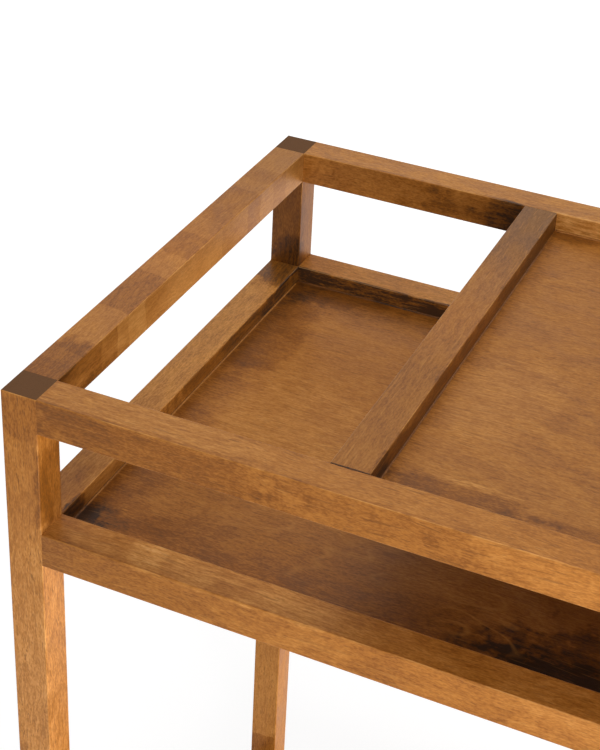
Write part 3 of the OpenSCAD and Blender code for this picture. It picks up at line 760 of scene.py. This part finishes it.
def tyre(corner):
    """Grey rubber with fine ribs on its sidewalls, and a tread scuffed paler by the floor"""
    g = Graph("rubber_" + corner)
    place = g.coords.outputs["Object"]
    centre = [(low + high) / 2 for low, high in zip(*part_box("wheel_tyre_" + corner))]
    offset = g.vector("SUBTRACT", place, centre)
    radius = g.vector("LENGTH", g.vector("MULTIPLY", offset, (1, 0, 1)))
    facing = g.node("ShaderNodeSeparateXYZ", Vector=g.coords.outputs["Normal"])
    sidewall = g.step(g.math("ABSOLUTE", facing.outputs["Y"]), *SIDEWALL)
    tread = g.step(radius, *TREAD_RADIUS)
    rib = g.step(g.math("PINGPONG", g.math("MULTIPLY", radius, RIBS_PER_METRE), 0.5), *RIB_EDGE)
    rib = g.math("MULTIPLY", rib, sidewall)
    skin = g.noise(place, *RUBBER_SKIN)
    scuff = g.math("MULTIPLY", g.layer(place, *SCUFFS), tread)
    dust = g.noise(place, *DUST)
    tone = g.ramp(dust, zip(RUBBER_TONES, (RUBBER, RUBBER_DUSTY)))
    tone = g.mix(g.math("MULTIPLY", scuff, SCUFF_STRENGTH), tone, RUBBER_SCUFFED)
    uneven = g.math("ADD", dust, g.math("MULTIPLY", scuff, SCUFF_ROUGHNESS))
    roughness = g.step(uneven, *RUBBER_LIMITS, *RUBBER_ROUGHNESS)
    height = g.math("ADD", g.math("MULTIPLY", skin, RUBBER_SKIN_HEIGHT), rib)
    return g.finish(Base_Color=tone, Roughness=roughness, Normal=g.bump(height, *RUBBER_BUMP))


def dress_castors():
    steel = plated("plated_steel", *STEEL)
    bright = plated("fastener_steel", *BRIGHT_STEEL)
    brass = plated("brass", *BRASS)
    nylon = moulded("black_nylon", *NYLON)
    parts = {
        "castor_stem": steel, "castor_fork": steel, "axle_bolt": bright, "axle_nut": bright,
        "axle_sleeve": bright, "swivel_bearing": bright, "wheel_hub": nylon,
    }
    for corner in CORNERS:
        for part, material in parts.items():
            assign(part + "_" + corner, material)
        assign("wheel_tyre_" + corner, tyre(corner))
    for corner in BRAKED:
        assign("brake_pedal_" + corner, nylon)
        assign("brake_pin_" + corner, bright)
    assign("stem_inserts", brass)


# Lacquer beads: a small hollow fillet in the corner between each panel and the wood round it
BEAD = 0.0013
BEAD_DEPTH = 0.0003
BEAD_STEPS = 5
BEAD_RINGS = (
    # name, level of the panel, low and high corner of its opening
    ("tray_bead", TRAY_TOP, *TRAY_OPENING),
    ("shelf_bead", SHELF_TOP, *RING_OPENING),
    ("base_bead", BASE_TOP, *RING_OPENING),
)

# Timber of the beads, and the painted shade on them along the back and in the front left corner of the
# shelf, and along the crossbar
BEAD_PLACE = (0.3, 0.2, 0.1)
BEAD_SHADE = (
    ((-0.280, BACK_INSIDE, SHELF_TOP), (0.170, 0.006, 0.02), -0.40),
    ((BAR_RIGHT, 0.0, TRAY_TOP), (0.006, 0.300, 0.02), -0.20),
    ((LEFT_INSIDE, -0.208, SHELF_TOP), (0.006, 0.022, 0.02), -0.40),
)


def mesh_from(name, bm, material):
    """Turns bm into a mesh in that material, and frees it"""
    mesh = bpy.data.meshes.new(name)
    bm.to_mesh(mesh)
    bm.free()
    mesh.materials.append(material)
    return mesh


def make_bead(name, level, low, high, material):
    """Runs the section of the fillet round the rectangle, with a mitre at each corner"""
    angles = [math.pi * k / (2 * BEAD_STEPS) for k in range(1, BEAD_STEPS)]
    section = [(0.0, -BEAD_DEPTH), (0.0, BEAD)]
    section += [(BEAD * (1 - math.cos(angle)), BEAD * (1 - math.sin(angle))) for angle in angles]
    section += [(BEAD, 0.0), (BEAD, -BEAD_DEPTH)]
    bm = bmesh.new()
    loops = []
    for right, back in ((False, False), (True, False), (True, True), (False, True)):
        x = high[0] if right else low[0]
        y = high[1] if back else low[1]
        into_x = -1 if right else 1
        into_y = -1 if back else 1
        loops.append([bm.verts.new((x + into_x * out, y + into_y * out, level + up)) for out, up in section])
    for first, second in zip(loops, loops[1:] + loops[:1]):
        for k in range(len(section)):
            after = (k + 1) % len(section)
            bm.faces.new((first[k], second[k], second[after], first[after]))
    bmesh.ops.recalc_face_normals(bm, faces=bm.faces)
    bead = place_object(name, mesh_from(name, bm, material))
    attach(bead, "frame")


def make_beads():
    material = wood(
        "wood_bead", "X", BEAD_PLACE, (LEFT_INSIDE, RIGHT_INSIDE), grey(0.85),
        flecks=0.1, streaks=0.0, ovals=BEAD_SHADE, worn_and_highlit=0.0,
    )
    for name, level, low, high in BEAD_RINGS:
        make_bead(name, level, low, high, material)


# Studio: a pale floor, white surroundings, and soft lamps
FLOOR_SIZE = 40.0
FLOOR_GAP = 0.0005
FLOOR_LIT = (0.80, 0.80, 0.80)
FLOOR_SEEN = (0.42, 0.42, 0.42)
GLOW_DISTANCES = (0.6, 3.0)
GLOW_STRENGTHS = (0.74, 1.0)
WHITE = (1, 1, 1)
SKY_LIGHT = 0.20
BACKGROUND = 1.0
LAMPS = (
    # name, place, aim, width, power
    ("top", (-0.1, 0.3, 2.925), (0, 0, 0.9), 1.4, 22),
    ("top_left", (-1.9, 0, 2.225), (0, 0, 0.9), 1.3, 5),
    ("top_front", (0.5, -1.6, 2.7), (0, 0, 0.85), 1.0, 14),
    ("front_high", (0.6, -1.4, 1.025), (0, 0, 0.85), 0.5, 11),
    ("front_low", (0.6, -1.4, 0.42), (0.1, 0, 0.75), 0.5, 4.5),
    ("side", (3.0, -0.6, 0.40), (0, 0, 0.70), 0.7, 52),
    ("side_back", (2.8, 1.1, 0.40), (0, 0, 0.70), 0.7, 60),
)


def background_ray(g):
    """1 for a ray of the camera, or one that gloss or glass sends to the surroundings"""
    path = g.node("ShaderNodeLightPath")
    seen = g.math("MAXIMUM", path.outputs["Is Camera Ray"], path.outputs["Is Glossy Ray"])
    return g.math("MAXIMUM", seen, path.outputs["Is Transmission Ray"])


class WorldGraph(Graph):
    """Node tree of the surroundings, with the same short calls"""

    def __init__(self, world):
        world.use_nodes = True
        self.tree = world.node_tree
        self.tree.nodes.clear()


def make_world():
    world = bpy.data.worlds.new("studio")
    bpy.context.scene.world = world
    g = WorldGraph(world)
    strength = g.step(background_ray(g), 0.0, 1.0, SKY_LIGHT, BACKGROUND)
    light = g.node("ShaderNodeBackground", Color=colour(WHITE), Strength=strength)
    output = g.node("ShaderNodeOutputWorld")
    g.tree.links.new(light.outputs["Background"], output.inputs["Surface"])


def floor_material():
    """Pale where it lights the trolley, and glowing up to white where the camera or gloss sees it"""
    g = Graph("floor")
    plain = g.node("ShaderNodeBsdfDiffuse", Color=colour(FLOOR_LIT))
    away = g.vector("LENGTH", g.coords.outputs["Object"])
    glow = g.step(away, *GLOW_DISTANCES, *GLOW_STRENGTHS)
    lift = g.node("ShaderNodeEmission", Color=colour(WHITE), Strength=glow)
    shown = g.node("ShaderNodeBsdfDiffuse", Color=colour(FLOOR_SEEN))
    white = g.node("ShaderNodeAddShader")
    g.tree.links.new(shown.outputs[0], white.inputs[0])
    g.tree.links.new(lift.outputs[0], white.inputs[1])
    choice = g.node("ShaderNodeMixShader")
    g.feed(choice.inputs[0], background_ray(g))
    g.tree.links.new(plain.outputs[0], choice.inputs[1])
    g.tree.links.new(white.outputs[0], choice.inputs[2])
    output = g.node("ShaderNodeOutputMaterial")
    g.tree.links.new(choice.outputs[0], output.inputs["Surface"])
    return g.material


def make_floor():
    bm = bmesh.new()
    bmesh.ops.create_grid(bm, x_segments=1, y_segments=1, size=FLOOR_SIZE / 2)
    floor = place_object("floor", mesh_from("floor", bm, floor_material()))
    floor.location.z = cad_box[0][2] - FLOOR_GAP


def make_lamps():
    for name, place, aim, width, power in LAMPS:
        data = bpy.data.lights.new(name, "AREA")
        data.shape = "SQUARE"
        data.size = width
        data.energy = power
        lamp = place_object(name, data)
        lamp.location = place
        lamp.visible_camera = False
        lamp.rotation_euler = (Vector(aim) - Vector(place)).to_track_quat("-Z", "Y").to_euler()


bpy.context.scene.view_settings.view_transform = "Standard"
make_camera()
make_world()
make_floor()
make_lamps()
dress_wood()
dress_castors()
make_beads()
